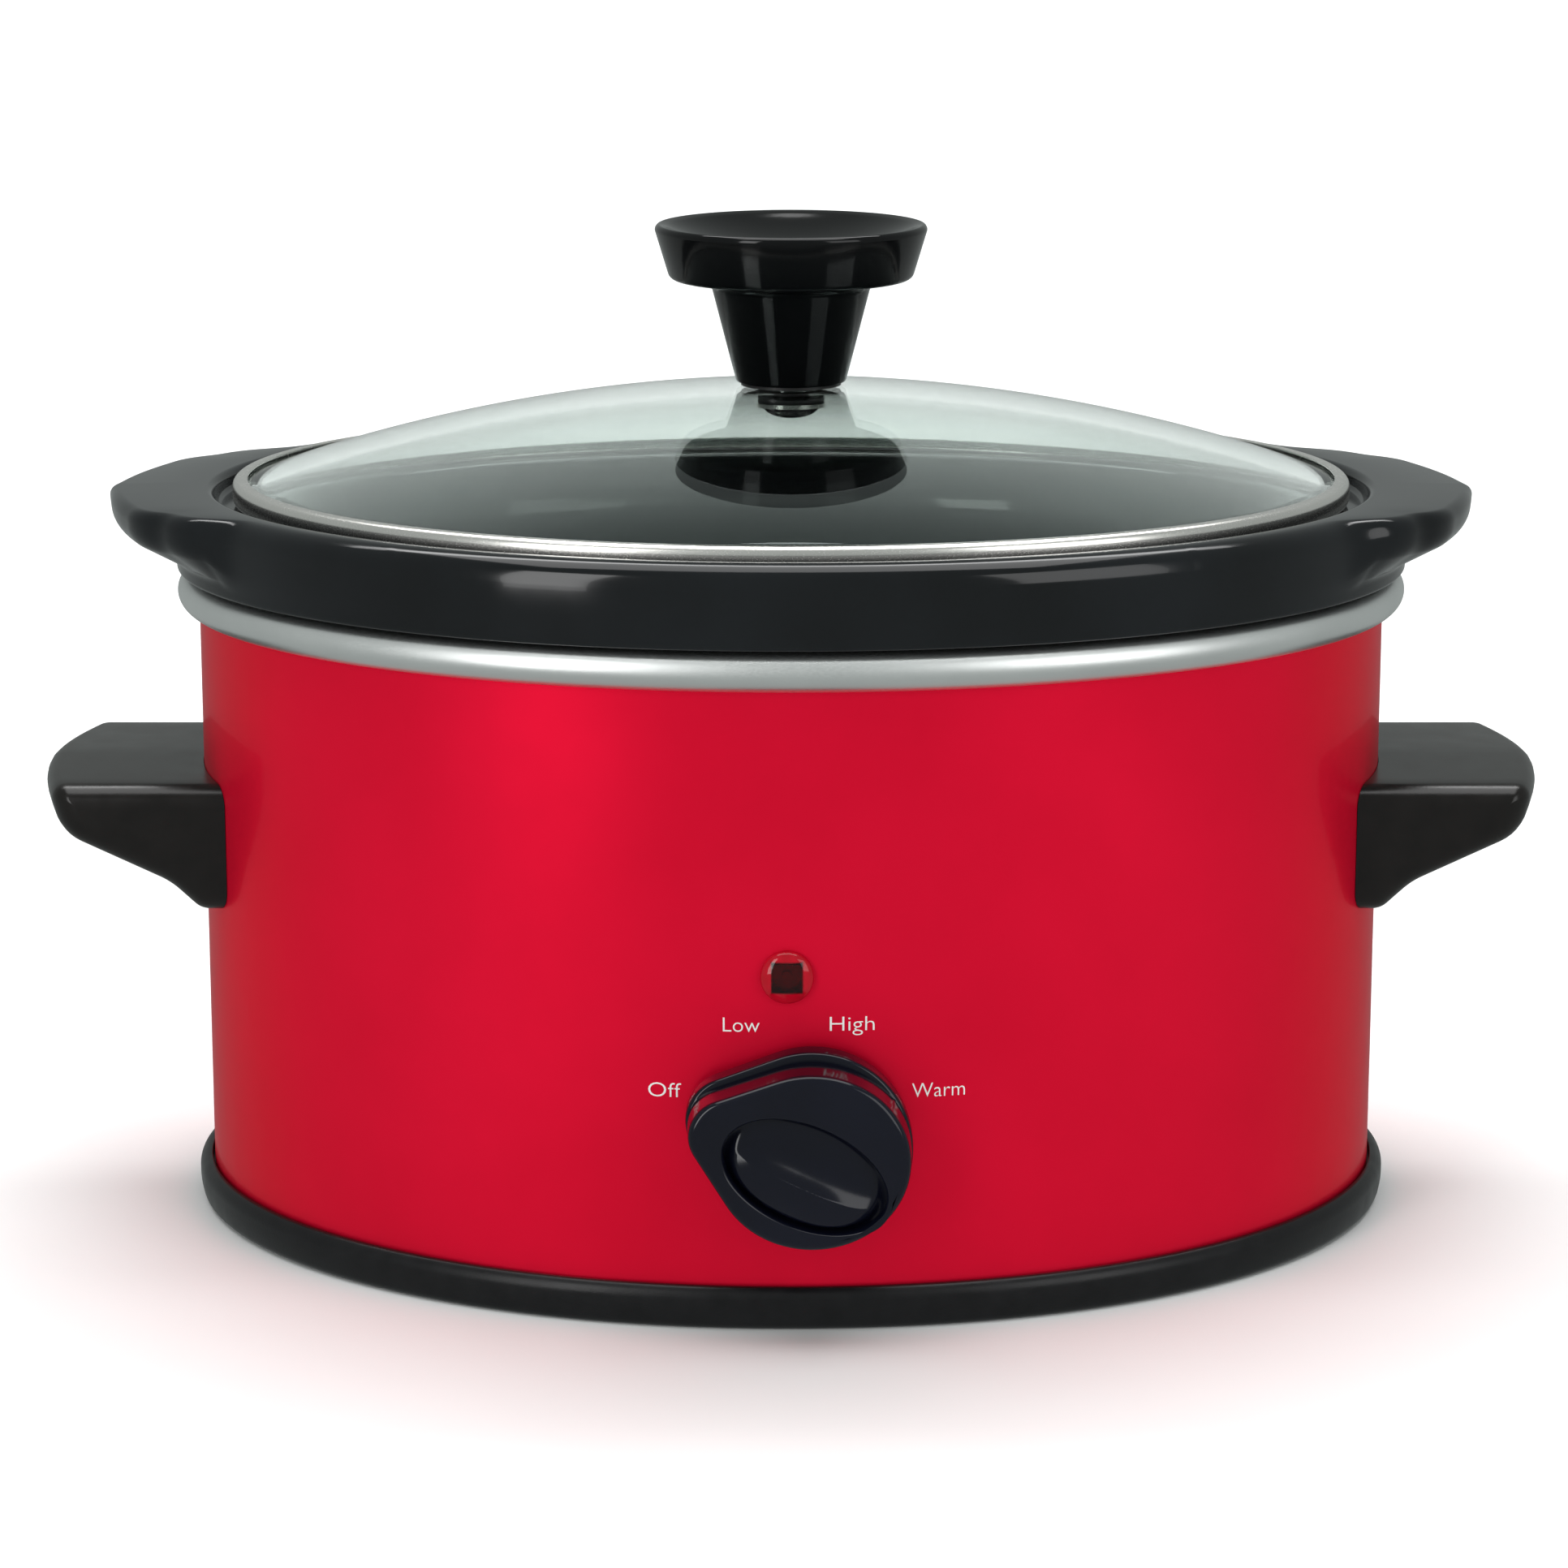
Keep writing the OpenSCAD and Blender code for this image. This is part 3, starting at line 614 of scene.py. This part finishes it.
def make_handle(name, node, mirrored):
    """A scoop handle, open below. Both are built on the left, and the right one is mirrored."""
    half = HANDLE_HIGH.y
    flat = half - HANDLE_EDGE
    rings = []
    bends = [math.radians(90 * i / 7) for i in range(8)]
    stops = [(-flat - HANDLE_EDGE * math.cos(b), HANDLE_EDGE * (1 - math.sin(b))) for b in bends]
    stops += [(flat * (i / 8 - 1), 0.0) for i in range(1, 16)]
    stops += [(-y, inset) for y, inset in reversed(stops[:8])]
    for y, inset in stops:
        reached = max(-half + 0.01, min(half - 0.01, y))
        points, shell = handle_section(reached, inset)
        rings.append([(-max(p.x, shell), y, p.y) for p in points])
    x, z = HANDLE_POLE
    rings = [[(x, -half, z)]] + rings + [[(x, half, z)]]
    handle = mesh_object(name, *skin(rings), sharp=SHARP_HANDLE)
    hollow = []
    for y in [half * (i / 10 - 1) * (1 - HANDLE_WALL / half) for i in range(21)]:
        nose = handle_end(y) - HANDLE_WALL - 5 * (abs(y) / half) ** 6
        top = HANDLE_HIGH.z - HANDLE_WALL - 0.4
        hollow.append([(-x, y, z) for x, z in outline(
            [(115, 50, 0), (nose, 50, 0), (nose, top, 2.4), (115, top, 1.2)])])
    cut_out(handle, [mesh_object("cutter", *skin(hollow, caps=True))], SHARP_HANDLE)
    if mirrored:
        handle.data.transform(Matrix.Scale(-1, 4, (1, 0, 0)))
        handle.data.flip_normals()
    return own(handle, "base", "handle_phenolic", node)


def make_lens():
    """Domed lens with a square pocket behind it for the lamp."""
    x, z = (LENS_LOW.x + LENS_HIGH.x) / 2, (LENS_LOW.z + LENS_HIGH.z) / 2
    tip, seat, back = -LENS_LOW.y, SHELL_HIGH.y + 0.1, -LENS_HIGH.y
    square = outline([(-2.7, -2.9, 0.4), (2.7, -2.9, 0.4), (2.7, 2.2, 0.9), (-2.7, 2.2, 0.9)])
    pocket = [reach(square, t) for t in angles(ROUND)]
    rings = [[(0, 0, tip - 1.9)]]
    for height in (tip - 1.9, back):
        rings.append([(r * math.cos(t), r * math.sin(t), height) for r, t in zip(pocket, angles(ROUND))])
    rim = [(3.9, back), (3.9, seat), (4.7, seat), (4.7, seat + 0.5)]
    dome = [(4.7 * math.sin(a), seat + 0.5 + (tip - seat - 0.5) * math.cos(a))
            for a in [math.radians(90 - 7.5 * i) for i in range(1, 13)]]
    rings += turned(rim + dome)
    lens = mesh_object("indicator_dome", *skin(to_front(rings, x, z)))
    return own(lens, "base", "red_lens", "indicator_lens")


# ---------- lid ----------

DOME_EDGE = 101.5       # radius where the glass's dome meets its rolled edge
GLASS_THICK = 3.4


def make_glass():
    low, high = RIM_HIGH.z - 0.8, GLASS_HIGH.z
    thick = GLASS_THICK
    rise = high - low

    def dome(r, drop):
        return Vector((r, low - drop + rise * (1 - (r / DOME_EDGE) ** 2)))

    radii = [4.5 + (DOME_EDGE - 4.5) * i / 48 for i in range(49)]
    top = [dome(r, 0.0) for r in radii]
    under = [dome(r, thick) for r in reversed(radii)]
    edge = [Vector((103.2, low - 0.25)), Vector((103.9, low - 0.9)), Vector((103.9, low - thick + 0.6)),
            Vector((103.2, low - thick))]
    rings = turned(top + edge + under, OVAL_ROUND, OVAL)
    glass = mesh_object("dome_glass", *skin(rings, closed=True), sharp=SHARP_MOULDED)
    return own(glass, "lid", "lid_glass", "lid_glass")


def make_lid_rim():
    wide, low, high = RIM_HIGH.x, RIM_LOW.z, RIM_HIGH.z
    rings = turned(outline([
        (102, high, 0.12), (wide, high, 1.5), (wide, low, 1.5), (102, low, 0.12),
        (102, low + 0.45, 0.1), (wide - 0.5, low + 0.45, 1.1), (wide - 0.5, high - 0.45, 1.1),
        (102, high - 0.45, 0.1)], steps=8), OVAL_ROUND, OVAL)
    band = mesh_object("lid_band", *skin(rings, closed=True), sharp=SHARP_MOULDED)
    return own(band, "lid", "lid_steel", "lid_rim")


def make_lid_knob():
    top, low, wide = KNOB_HIGH.z, KNOB_LOW.z, KNOB_HIGH.x
    floor, mouth = top - 6.2, wide - 2.4
    dish = [Vector((mouth * s, floor + 5.6 * s ** 2.2)) for s in [1 - i / 24 for i in range(25)]]
    outside = outline([
        (3.5, low, 0), (10.3, low, 0.5), (15.0, top - 11.3, 1.3), (22.7, top - 10.2, 1.0),
        (wide, top - 0.9, 0.5), (wide - 0.7, top, 0.5), (mouth + 0.2, top - 0.5, 0.4),
        (mouth - 1.0, floor + 5.1, 0)], closed=False, steps=8)
    rings = turned([Vector((0, low + 12)), Vector((3.5, low + 12))] + outside[:-1] + dish[1:])
    knob = mesh_object("lid_knob_dish", *skin(rings), sharp=SHARP_MOULDED)
    return own(knob, "lid", "knob_phenolic", "lid_knob")


def make_lid_screw():
    low, high = box_mm("lid_screw")
    head = [(5.2 * math.sin(a), low.z + 2 - 2 * math.cos(a))
            for a in [math.radians(7.5 * i) for i in range(13)]]
    rings = turned(head + [(5.0, low.z + 2.15), (2.0, low.z + 2.15), (2.0, high.z), (0, high.z)])
    return own(mesh_object("lid_screw_dome", *skin(rings)), "lid", "dark_screw", "lid_screw")


# ---------- control knob ----------

DIAL_POINTS = 192
POINTER = math.radians(160)     # direction of the knob's narrow end
GRIP_TILT = math.radians(-25)
GRIP_HALF = (15.3, 9.1)         # half length and half width of the oval recess around the grip
GRIP_SHIFT = (1.2, -3.2)        # its middle, from the knob's axis


def egg(round_r, tip_r, tip_x, back=2.6):
    """Outline of a disc and a smaller disc joined by straight sides, pointing along POINTER."""
    gap = tip_x + back
    meet = math.degrees(math.acos((round_r - tip_r) / gap))
    shape = arc(-back, 0, round_r, meet, 360 - meet, 60) + arc(tip_x, 0, tip_r, -meet, meet, 24)
    c, s = math.cos(POINTER), math.sin(POINTER)
    return [Vector((p.x * c - p.y * s, p.x * s + p.y * c)) for p in shape]


def grip_height(u, v):
    """Height of the knob's face inside its recess, over the recess floor, for u and v from -1 to 1."""
    rim = math.sqrt(u * u + v * v)
    crest = -0.08 - 0.14 * (1 - u * u)
    if v > crest:
        flank = 0.12 + 0.88 * (1 - min(1.0, (v - crest) / 0.75)) ** 2
    else:
        flank = math.sqrt(max(0.0, 1 - ((crest - v) / (1.02 + crest)) ** 2.2))
    ends = max(0.0, 1 - abs(u) ** 3)
    edge = min(1.0, max(0.0, (0.98 - rim) / 0.14))
    return flank * ends * edge * edge * (3 - 2 * edge)


def make_control_knob():
    x, z = (SHAFT_LOW.x + SHAFT_HIGH.x) / 2, (SHAFT_LOW.z + SHAFT_HIGH.z) / 2
    back, front = -DIAL_HIGH.y, -DIAL_LOW.y
    face = front - 0.6
    around = angles(DIAL_POINTS)
    lower = egg(17.6, 8.0, 12.3)
    upper = [Vector((p.x, 0.92 * p.y)) for p in egg(17.1, 7.6, 12.1)]
    lower, upper = [[reach(shape, t) for t in around] for shape in (lower, upper)]

    def ring(radii, height, inset=0.0):
        return [((r - inset) * math.cos(t), (r - inset) * math.sin(t), height)
                for r, t in zip(radii, around)]

    def circle(radius, height):
        return ring([radius] * DIAL_POINTS, height)

    step = back + 4.7
    bore = -SHAFT_LOW.y + 0.1
    rings = [[(0, 0, bore)], circle(3.0, bore), circle(3.0, back + 3.9),
             circle(8.0, back + 3.9), circle(8.0, back), ring(lower, back, 0.5), ring(lower, back + 0.5)]
    for height, inset in ((step - 0.8, 0.0), (step - 0.35, 0.12), (step - 0.08, 0.4), (step, 0.62)):
        rings.append(ring(lower, height, inset))
    rings.append(ring(upper, step + 0.05, -0.25))
    for a in [math.radians(15 * i) for i in range(7)]:
        rings.append(ring(upper, face - 1.3 + 1.3 * math.sin(a), 1.3 - 1.3 * math.cos(a)))
    long, short = GRIP_HALF
    shift = Vector(GRIP_SHIFT)
    c, s = math.cos(GRIP_TILT), math.sin(GRIP_TILT)

    def recess_point(share, t, height):
        u, v = share * math.cos(t - GRIP_TILT) * long, share * math.sin(t - GRIP_TILT) * short
        return (shift.x + u * c - v * s, shift.y + u * s + v * c, height)

    for share, drop in ((1.05, 0.0), (1.02, 0.08), (1.0, 0.3), (0.985, 0.7)):
        rings.append([recess_point(share, t, face - drop) for t in around])
    floor = face - 2.9
    for share in [0.975 - 0.975 * i / 34 for i in range(34)]:
        rings.append([recess_point(share, t, floor + (front - floor) * grip_height(
            share * math.cos(t - GRIP_TILT), share * math.sin(t - GRIP_TILT))) for t in around])
    rings.append([recess_point(0, 0, floor + (front - floor) * grip_height(0, 0))])
    dial = mesh_object("control_dial", *skin(to_front(rings, x, z)), sharp=SHARP_HANDLE)
    return own(dial, "control_knob", "control_plastic", "control_knob")


# ---------- printed words ----------

# Middle of each word and its width, in millimetres
WORDS = {
    "Off": (-22.3, 43.1, 5.8),
    "Low": (-8.8, 55.3, 6.4),
    "High": (10.6, 55.5, 7.8),
    "Warm": (25.9, 43.0, 9.3),
}
CAP_HEIGHT = 2.65
PRINT_GAP = 0.03


def print_look():
    return plain("white_print_look", (0.86, 0.86, 0.85), 0.45, 0.3, 0.004, vary=0.03)


def make_words():
    """Setting words printed on the shell, wrapped on its curve."""
    look = print_look()
    for word, (x, z, wide) in WORDS.items():
        curve = bpy.data.curves.new("text", "FONT")
        curve.body = word
        curve.align_x = "CENTER"
        curve.align_y = "CENTER"
        curve.size = CAP_HEIGHT / 0.70
        curve.extrude = 0.02
        curve.offset = -0.035
        curve.resolution_u = 4
        source = bpy.data.objects.new("text", curve)
        bpy.context.scene.collection.objects.link(source)
        graph = bpy.context.evaluated_depsgraph_get()
        mesh = bpy.data.meshes.new_from_object(source.evaluated_get(graph))
        bpy.data.objects.remove(source)
        stretch = wide / (max(v.co.x for v in mesh.vertices) - min(v.co.x for v in mesh.vertices))
        for vertex in mesh.vertices:
            side = x + vertex.co.x * stretch
            out = OVAL * math.sqrt(SHELL_A ** 2 - side ** 2) + PRINT_GAP + vertex.co.z
            vertex.co = Vector((side, -out, z + vertex.co.y)) * MM
        mesh.materials.clear()
        mesh.materials.append(look)
        label = bpy.data.objects.new("print_" + word.lower(), mesh)
        bpy.context.scene.collection.objects.link(label)
        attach(label, "base")


# ---------- studio ----------

def make_floor():
    """Pale floor that sweeps up behind the object."""
    path = [(-3.0, 0.0), (1.1, 0.0)]
    path += [(1.1 + 0.9 * math.sin(a), 0.9 - 0.9 * math.cos(a))
             for a in [math.radians(9 * i) for i in range(1, 11)]]
    path.append((2.0, 3.2))
    verts = [(x, y, z) for y, z in path for x in (-3.0, 3.0)]
    faces = [(2 * i, 2 * i + 1, 2 * i + 3, 2 * i + 2) for i in range(len(path) - 1)]
    mesh = bpy.data.meshes.new("floor")
    mesh.from_pydata(verts, [], faces)
    mesh.shade_smooth()
    floor = bpy.data.objects.new("floor", mesh)
    bpy.context.scene.collection.objects.link(floor)
    floor.data.materials.append(
        plain("floor_look", (0.87, 0.87, 0.87), 0.75, 8.0, 0.02, vary=0.01))
    floor.visible_glossy = False


def softbox(name, at, aim, size, power, colour=(1, 1, 1)):
    data = bpy.data.lights.new(name, "AREA")
    data.shape = "RECTANGLE"
    data.size, data.size_y = size
    data.energy = power
    data.color = colour
    light = bpy.data.objects.new(name, data)
    light.location = at
    light.rotation_euler = (Vector(aim) - Vector(at)).to_track_quat("-Z", "Y").to_euler()
    bpy.context.scene.collection.objects.link(light)


def make_lights():
    middle = (0, 0, 0.09)
    softbox("band_light", (-0.95, -1.30, 0.55), middle, (0.42, 1.3), 8)
    softbox("fill_light", (1.3, -1.25, 0.7), middle, (0.9, 1.2), 7)
    softbox("top_light", (0, 0.1, 1.7), middle, (1.8, 1.6), 26)
    softbox("back_light", (0, 0.75, 1.9), (0, 1.9, 0.5), (2.6, 0.8), 32)
    world = bpy.data.worlds.new("studio")
    world.use_nodes = True
    shader = world.node_tree.nodes["Background"]
    shader.inputs["Color"].default_value = (0.93, 1, 0.98, 1)
    shader.inputs["Strength"].default_value = 0.32
    bpy.context.scene.world = world


CAMERA_AT = (0, -0.8462, 0.2762)
CAMERA_DOWN = 0.2161            # pitch in radians
CAMERA_LENS = 104.35
CAMERA_SHIFT = (-0.0045, -0.0391)


def make_camera():
    data = bpy.data.cameras.new("camera")
    data.sensor_width = 36
    data.lens = CAMERA_LENS
    data.shift_x, data.shift_y = CAMERA_SHIFT
    camera = bpy.data.objects.new("camera", data)
    camera.location = CAMERA_AT
    camera.rotation_euler = (math.pi / 2 - CAMERA_DOWN, 0, 0)
    bpy.context.scene.collection.objects.link(camera)
    bpy.context.scene.camera = camera
    bpy.context.scene.view_settings.view_transform = "Standard"


make_camera()
make_floor()
make_lights()
make_crock()
make_well()
make_base()
make_handle("grip_right", "handle_right", True)
make_handle("grip_left", "handle_left", False)
make_lens()
make_glass()
make_lid_rim()
make_lid_knob()
make_lid_screw()
make_control_knob()
make_words()
